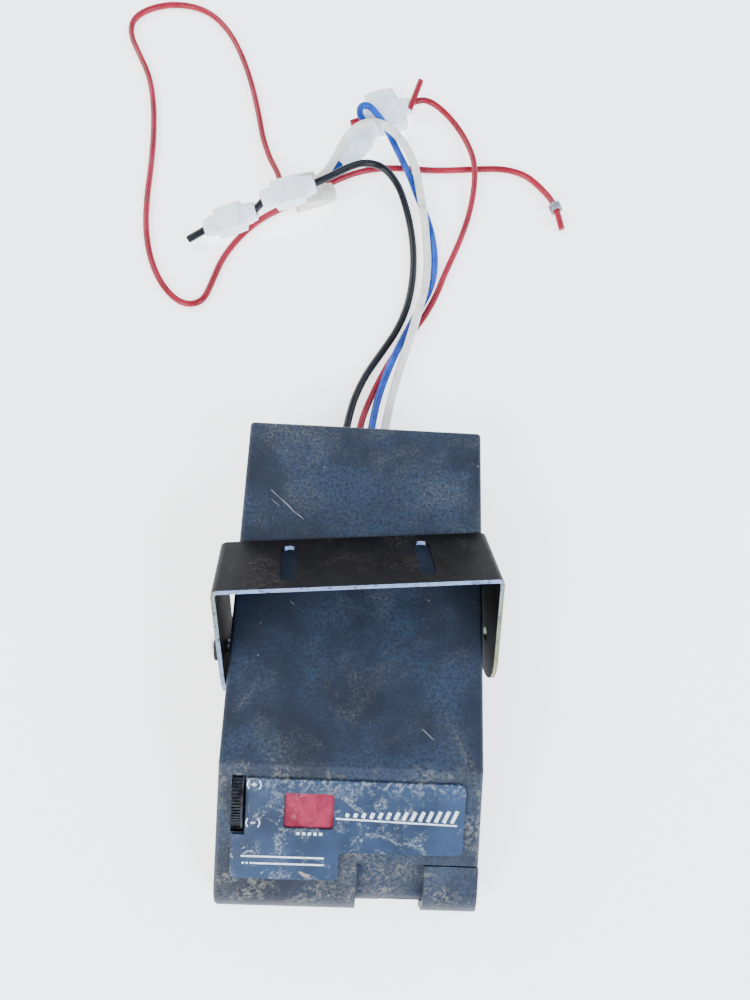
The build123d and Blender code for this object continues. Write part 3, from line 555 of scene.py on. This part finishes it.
def connector_bead(letter):
    """The hinge bead along the block's side, nearly round, that tapers off at both ends by
    sqrt(1 - u^6)."""
    middle, heading, nose, (length, width, height), _, slot = CONNECTORS[letter]
    u = np.linspace(-1, 1, 17)
    swell = np.sqrt(np.clip(1 - u ** 6, 0.004, 1))
    flat = 0 * u
    points, faces = superellipse_loft(
        u / 2 * (length - 1.4), 0.9 * swell, 1.15 * swell, 2.4 + flat, -width / 2 + 0.5 + flat, 24,
    )
    points[:, 2] += height / 2 - 1.5
    points = placed(points, middle, heading, nose)
    bead = new_piece("connector_bead_" + letter, points, faces, slot)
    return bead


# ---------------------------------------------------------------- cut ends

# Short wires cut off at a connector: where each starts and ends in millimetres from the box's
# middle, its diameter in metres, and its finish.
CUT_ENDS = {
    "black_link": ((-50.9, 206.4, 15), (-56.4, 200.5, 12.8), BLACK_WIRE, "insulation_black"),
    "black_stub": ((-77, 195.6, 6.3), (-86.8, 190.6, 3), BLACK_WIRE, "insulation_black"),
    "blue_stub": ((-17.3, 237.9, 7), (-21.3, 232.5, 5.6), BLUE_WIRE, "insulation_blue"),
    "red_stub_long": ((15.4, 273.4, 6.4), (20.5, 288.2, 10.8), RED_WIRE, "insulation_red"),
    "red_stub_short": ((-8.1, 266.8, 4.9), (-13.9, 264.5, 4.2), RED_WIRE, "insulation_red"),
}

# Profiles of a cut end. The insulation's stations are parts of its length, and the core's are
# millimetres from its end; radii are parts of the wire's radius.
BODY_ALONG = np.array([0, 0.1, 0.5, 0.9, 0.97, 0.99, 1.0, 1.0, 0.985])
BODY_RADII = np.array([0.98, 1, 1, 1, 0.98, 0.93, 0.84, 0.66, 0.62])
CORE_ALONG = np.array([-1.0, -0.12, -0.02, 0.0])
CORE_RADII = np.array([0.6, 0.6, 0.5, 0.2])


def wire_bits(name):
    """A cut length of wire: insulation that is nipped in and rolled at the cut, and a blunt
    copper end. Both are profiles (distance along, radius) turned about the wire."""
    start, end, diameter, slot = CUT_ENDS[name]
    axis = np.array(end) - np.array(start)
    reach = np.linalg.norm(axis)
    axis = axis / reach
    radius = diameter / MM / 2
    side = np.cross(axis, [0, 0, 1.0])
    side /= np.linalg.norm(side)
    up = np.cross(side, axis)

    def turned(along, radii, around):
        c, s = circle(around)
        out = radii[:, None, None] * (c[..., None] * side + s[..., None] * up)
        rings = np.array(start) + along[:, None, None] * axis + out
        return in_box(rings.reshape(-1, 3)), tube_faces(len(along), around)

    insulation = turned(BODY_ALONG * reach, BODY_RADII * radius, 28)
    body = new_piece(name + "_insulation", *insulation, slot)
    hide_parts(name)
    strands = turned(reach + CORE_ALONG, CORE_RADII * radius, 20)
    core = new_piece(name + "_copper", *strands, "copper")
    return [body, core]


# ---------------------------------------------------------------- marks on the panel

# Places in millimetres on the panel: across from the box's middle, and down the slope from the
# panel's upper edge. Widths and heights are in millimetres too.
INK_THICKNESS = 0.05
SIGN_X, SIGN_ARM, SIGN_WIDTH = -32.4, 0.8, 0.42
PLUS_S, MINUS_S = 2.1, 15.4
PAREN_REACH, PAREN_HALF_HEIGHT, PAREN_BULGE, PAREN_WIDTH = 1.7, 1.5, 0.55, 0.4
DASHES, DASH_X, DASH_S, DASH_PITCH, DASH_LENGTH, DASH_WIDTH = 5, -17.6, 18.7, 1.9, 1.1, 1.0
RULE, RULE_WIDTH = (-4.6, 13.0, 36.6, 14.2), 0.55
BARS, BAR_X, BAR_PITCH, BAR_WIDTH, BAR_LEAN = 14, -1.0, 2.75, 1.25, 0.42
BAR_SHORTEST, BAR_GROWTH = 1.2, 0.24
BAR_BASE, BAR_BASE_SLOPE = 12.2, 0.029
STRIP_RULES, STRIP_WIDTH = ((-36.0, 27.2, -8.0, 27.2), (-32.6, 29.6, -8.0, 29.6)), 0.6
TICKS, TICK_X, TICK_S, TICK_PITCH, TICK_LENGTH, TICK_WIDTH = 3, -35.6, 29.6, 1.3, 0.7, 0.7


def on_panel(x, s, lift=0.0):
    """Millimetres across from the box's middle and down the slope from the panel's upper edge,
    as metres in the row's frame."""
    y = panel_high[1] - PANEL_DEPTH * sin(SLOPE) + (-s * cos(SLOPE) - lift * sin(SLOPE)) * MM
    z = panel_high[2] + (-s * sin(SLOPE) + lift * cos(SLOPE)) * MM
    return np.stack([MIDDLE_X + np.asarray(x) * MM, y, z], -1)


def ink_stroke(path, width):
    """One printed stroke: a strip of a width along a path on the panel, a hair thick. Each
    station gives four corners, and neighbours are joined by quads."""
    path = np.asarray(path, float)
    along = np.gradient(path, axis=0)
    along /= np.linalg.norm(along, axis=1)[:, None]
    across = np.stack([-along[:, 1], along[:, 0]], 1) * width / 2
    one, two = path + across, path - across
    corners = [on_panel(*one.T), on_panel(*two.T),
               on_panel(*two.T, INK_THICKNESS), on_panel(*one.T, INK_THICKNESS)]
    return np.stack(corners, 1).reshape(-1, 3), tube_faces(len(path), 4)


def arc(x, s, half_height, bulge):
    """A round bracket's path: a shallow arc beside a sign."""
    t = np.linspace(-1, 1, 9)
    return np.stack([x + bulge * (1 - t ** 2), s + half_height * t], 1)


def line(x0, s0, x1, s1):
    """A straight path between two places on the panel."""
    return np.array([(x0, s0), (x1, s1)])


def panel_marks():
    """White screen-printed marks, all generic: plus and minus in brackets by the thumbwheel,
    dashes under the window, rising bars over a long rule, and a blank name strip of two rules
    with three ticks."""
    strokes = []
    for s in (PLUS_S, MINUS_S):
        for side in (-1, 1):
            paren = arc(SIGN_X + side * PAREN_REACH, s, PAREN_HALF_HEIGHT, side * PAREN_BULGE)
            strokes.append((paren, PAREN_WIDTH))
        strokes.append((line(SIGN_X - SIGN_ARM, s, SIGN_X + SIGN_ARM, s), SIGN_WIDTH))
    upright = line(SIGN_X, PLUS_S - SIGN_ARM, SIGN_X, PLUS_S + SIGN_ARM)
    strokes.append((upright, SIGN_WIDTH))
    for i in range(DASHES):
        x = DASH_X + DASH_PITCH * i
        strokes.append((line(x, DASH_S, x + DASH_LENGTH, DASH_S), DASH_WIDTH))
    strokes.append((line(*RULE), RULE_WIDTH))
    for i in range(BARS):
        x, tall = BAR_X + BAR_PITCH * i, BAR_SHORTEST + BAR_GROWTH * i
        base = BAR_BASE + BAR_BASE_SLOPE * (x - RULE[0])
        strokes.append((line(x, base, x + BAR_LEAN * tall, base - tall), BAR_WIDTH))
    strokes += [(line(*rule), STRIP_WIDTH) for rule in STRIP_RULES]
    for i in range(TICKS):
        x = TICK_X + TICK_PITCH * i
        strokes.append((line(x, TICK_S, x + TICK_LENGTH, TICK_S), TICK_WIDTH))
    points, faces, count = [], [], 0
    for path, width in strokes:
        some, quads = ink_stroke(path, width)
        points.append(some)
        faces += [[i + count for i in q] for q in quads]
        count += len(some)
    marks = new_piece("panel_marks", np.concatenate(points), faces, "ink", smooth=False)


# ---------------------------------------------------------------- cords

# The routes in millimetres from the box's middle, from inside the rear wall to the connector,
# and for the lead from its connector to its cut end.
BLACK_ROUTE = [
    (BLACK_EXIT, 78, EXIT_HEIGHT), (BLACK_EXIT, 89, EXIT_HEIGHT), (-7.4, 101.5, 6.6),
    (-5.1, 114, 3), (-0.6, 126, 1.8), (6.5, 138.1, 1.8), (13, 149.7, 1.8), (17.3, 162.2, 1.8),
    (19.4, 175.7, 1.8), (19.7, 189.7, 1.8), (18.4, 203.2, 1.8), (15.5, 215.7, 3.2),
    (11, 226.9, 6.6), (3.3, 234.5, 9.4), (-5.7, 234.4, 11.6), (-14.1, 228.1, 14),
    (-21.8, 220.3, 16.2), (-30.1, 214.6, 16.8),
]
WHITE_ROUTE = [
    (WHITE_EXIT, 78, EXIT_HEIGHT), (WHITE_EXIT, 89, EXIT_HEIGHT), (9, 101.6, 7),
    (11.2, 114.6, 4.9), (14.7, 129.2, 5.5), (18.8, 143.7, 7.2), (22.3, 158.2, 7.9),
    (25.2, 171.7, 4.7), (26.3, 185.3, 2.4), (25.4, 198.8, 3), (23.5, 210.7, 6.5),
    (21.6, 222.7, 7.3), (19.3, 236.2, 7.4), (14.8, 246.8, 8.9), (8.2, 252.9, 12.2),
    (0.5, 255.9, 14.8), (-7.2, 254.2, 15.4), (-13.4, 248.7, 14.8), (-17.6, 241.3, 13.2),
    (-21.3, 234.1, 9.6), (-25.2, 228.7, 7.6), (-30, 225, 6.6),
]
BLUE_ROUTE = [
    (BLUE_EXIT, 78, EXIT_HEIGHT), (BLUE_EXIT, 89, EXIT_HEIGHT), (3.2, 101.6, 7.2),
    (5.3, 114.1, 5.2), (9.1, 127.1, 5.2), (14, 140.2, 5), (19, 151.7, 4.3), (23.5, 162.2, 2.6),
    (27.8, 172.3, 1.7), (29.9, 183.3, 1.7), (29.4, 196.3, 1.7), (26.5, 210.3, 1.7),
    (21.2, 222.2, 2.6), (16.5, 233.7, 5.4), (11.6, 244.5, 5.6), (6.9, 253.3, 7.4),
    (2.5, 259.7, 10.8), (-2.1, 265, 12.3), (-5.4, 268.1, 12.6), (-9.2, 267.6, 12.4),
    (-9.7, 263.6, 11.4), (-6.9, 260.4, 9.9), (-4.3, 256.6, 8.3),
]
RED_ROUTE = [
    (RED_EXIT, 78, EXIT_HEIGHT), (RED_EXIT, 89, EXIT_HEIGHT), (-1.6, 101.5, 6.8),
    (1.7, 113.1, 3.4), (5.9, 124.6, 1.6), (11.3, 135.9, 1.6), (17.8, 146.2, 1.6),
    (25.1, 157, 1.6), (30.6, 168.9, 1.6), (34.7, 181.6, 1.6), (39.6, 194.4, 1.6),
    (43.9, 206.9, 1.6), (47, 219.4, 2.2), (48.5, 231, 5), (48.6, 243.8, 5), (46.3, 255.4, 3.1),
    (41.7, 266.4, 2.3), (34.8, 275.9, 2.8), (26.9, 281.9, 4), (20.3, 282, 5),
    (14.4, 277.6, 5.1),
]
LEAD_ROUTE = [
    (-40, 219.4, 6.6), (-44, 221.3, 6.3), (-46.2, 226.1, 5.6), (-48.3, 232.3, 4.2),
    (-52.1, 240.2, 2.5), (-56.8, 253, 1.6), (-60.4, 269.1, 1.6), (-65.1, 286.9, 1.6),
    (-71.7, 305.7, 1.6), (-80.2, 322.6, 1.6), (-91.5, 334.9, 1.6), (-105.9, 339.2, 1.6),
    (-120.5, 336.3, 1.6), (-131, 327.4, 1.6), (-130.9, 315.4, 1.6), (-124.4, 302.5, 1.6),
    (-117.7, 289.1, 1.6), (-113.4, 272.6, 1.6), (-110.8, 253.2, 1.6), (-109.6, 234.2, 1.6),
    (-109.3, 215.2, 1.6), (-107.6, 196.2, 1.6), (-103.1, 179.2, 1.6), (-95.8, 165.3, 1.6),
    (-85.9, 156.4, 1.6), (-76.7, 158.2, 1.6), (-73.4, 170.1, 1.6), (-70.3, 182.1, 1.6),
    (-64, 194.1, 1.6), (-55.3, 205, 1.6), (-44.1, 213.3, 1.6), (-31.6, 221.6, 1.6),
    (-19.7, 231.3, 1.6), (-5.7, 238.8, 1.6), (10.3, 241.3, 1.6), (29.3, 240.7, 1.6),
    (48.2, 243.2, 1.6), (63.2, 244.9, 1.6), (74.7, 242, 1.6), (82.3, 234.3, 1.7),
    (87.3, 225.5, 3.3), (89.9, 217.4, 3.3), (91.7, 210.6, 1.6),
]


def cord(name, route, diameter, slot, replaced, pieces):
    """A wire as one smooth curve over the route's points; the pieces argument, for the pieces that
    are on it, is not used.
    """
    curve = bpy.data.curves.new(name, "CURVE")
    curve.dimensions = "3D"
    spline = curve.splines.new("NURBS")
    points = in_box(route)
    spline.points.add(len(points) - 1)
    for point, place in zip(spline.points, points):
        point.co = (*place, 1.0)
    spline.order_u = 3
    spline.use_endpoint_u = True
    spline.resolution_u = 8
    curve.bevel_depth = diameter / 2
    curve.bevel_resolution = 6
    curve.use_fill_caps = True
    curve.materials.append(MATERIALS[slot])
    piece = bpy.data.objects.new(name, curve)
    bpy.context.scene.collection.objects.link(piece)
    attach(piece, "housing")
    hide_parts(replaced)


def connector(letter):
    """A connector's body, lid, bead and blade."""
    blade = frame["nodes"]["splice_blade_" + letter]
    return [connector_body(letter), connector_lid(letter), connector_bead(letter), blade]


def lay_cords():
    """Every wire with the pieces that are on it. The black stub reaches past 60 mm from the black
    wire's centreline, so it is on no cord."""
    cord("black_cord", BLACK_ROUTE, BLACK_WIRE,
         "insulation_black", "wire_black",
         connector("b") + wire_bits("black_link") + connector("a"))
    wire_bits("black_stub")
    cord("white_cord", WHITE_ROUTE, WHITE_WIRE,
         "insulation_white", "wire_white", connector("c"))
    cord("blue_cord", BLUE_ROUTE, BLUE_WIRE,
         "insulation_blue", "wire_blue", connector("e") + wire_bits("blue_stub"))
    cord("red_cord", RED_ROUTE, RED_WIRE,
         "insulation_red", "wire_red",
         connector("d") + wire_bits("red_stub_long") + wire_bits("red_stub_short"))
    cord("long_lead", LEAD_ROUTE, RED_WIRE,
         "insulation_red", "red_lead", [frame["nodes"]["lead_nut"]])


# ---------------------------------------------------------------- stage

def make_camera():
    """A phone's main lens held over the box, tipped towards the wires."""
    data = bpy.data.cameras.new("camera")
    data.sensor_width = 36
    data.lens = 27.0
    camera = bpy.data.objects.new("camera", data)
    camera.location = (MIDDLE_X - 5.6 * MM, -32 * MM, 303.4 * MM)
    camera.rotation_euler = (radians(18.1), radians(-2.8), radians(2.05))
    bpy.context.scene.collection.objects.link(camera)
    bpy.context.scene.camera = camera


def area_light(name, place, size, power, colour="#FFFFFF"):
    """A soft square lamp aimed at the box."""
    data = bpy.data.lights.new(name, "AREA")
    data.size = size
    data.energy = power
    data.color = linear(colour)[:3]
    lamp = bpy.data.objects.new(name, data)
    lamp.location = place
    lamp.rotation_euler = (-Vector(place)).to_track_quat("-Z", "Y").to_euler()
    bpy.context.scene.collection.objects.link(lamp)


FLOOR_SIZE, FLOOR_DROP, FLOOR_GLOW = 6, 0.2 * MM, 1.7
SKY_STRENGTH = 0.9
LAMP_SIZE = 0.9


def make_stage():
    """A wide white floor that glows a little, under an even cool sky and four soft lamps."""
    bpy.ops.mesh.primitive_plane_add(size=FLOOR_SIZE, location=(0, 0, -FLOOR_DROP))
    floor = bpy.context.object
    floor.name = "floor"
    material, _, shader = start_material("pale_floor", 0.9, Emission_Strength=FLOOR_GLOW)
    shader.inputs["Base Color"].default_value = linear("#FFFFFF")
    shader.inputs["Emission Color"].default_value = linear("#FFFFFF")
    floor.data.materials.append(material)
    world = bpy.data.worlds.new("studio")
    world.use_nodes = True
    sky = world.node_tree.nodes["Background"]
    sky.inputs["Color"].default_value = linear("#E4ECFF")
    sky.inputs["Strength"].default_value = SKY_STRENGTH
    bpy.context.scene.world = world
    area_light("rear_left", (-0.8, 0.9, 0.8), LAMP_SIZE, 13)
    area_light("rear_right", (0.9, 0.8, 0.8), LAMP_SIZE, 10, "#DCE8FF")
    area_light("front_right", (0.9, -0.8, 0.7), LAMP_SIZE, 28, "#CFE0FF")
    area_light("front_left", (-0.8, -0.9, 0.8), LAMP_SIZE, 26)


dress_cad_nodes()
panel_marks()
lay_cords()
make_camera()
make_stage()
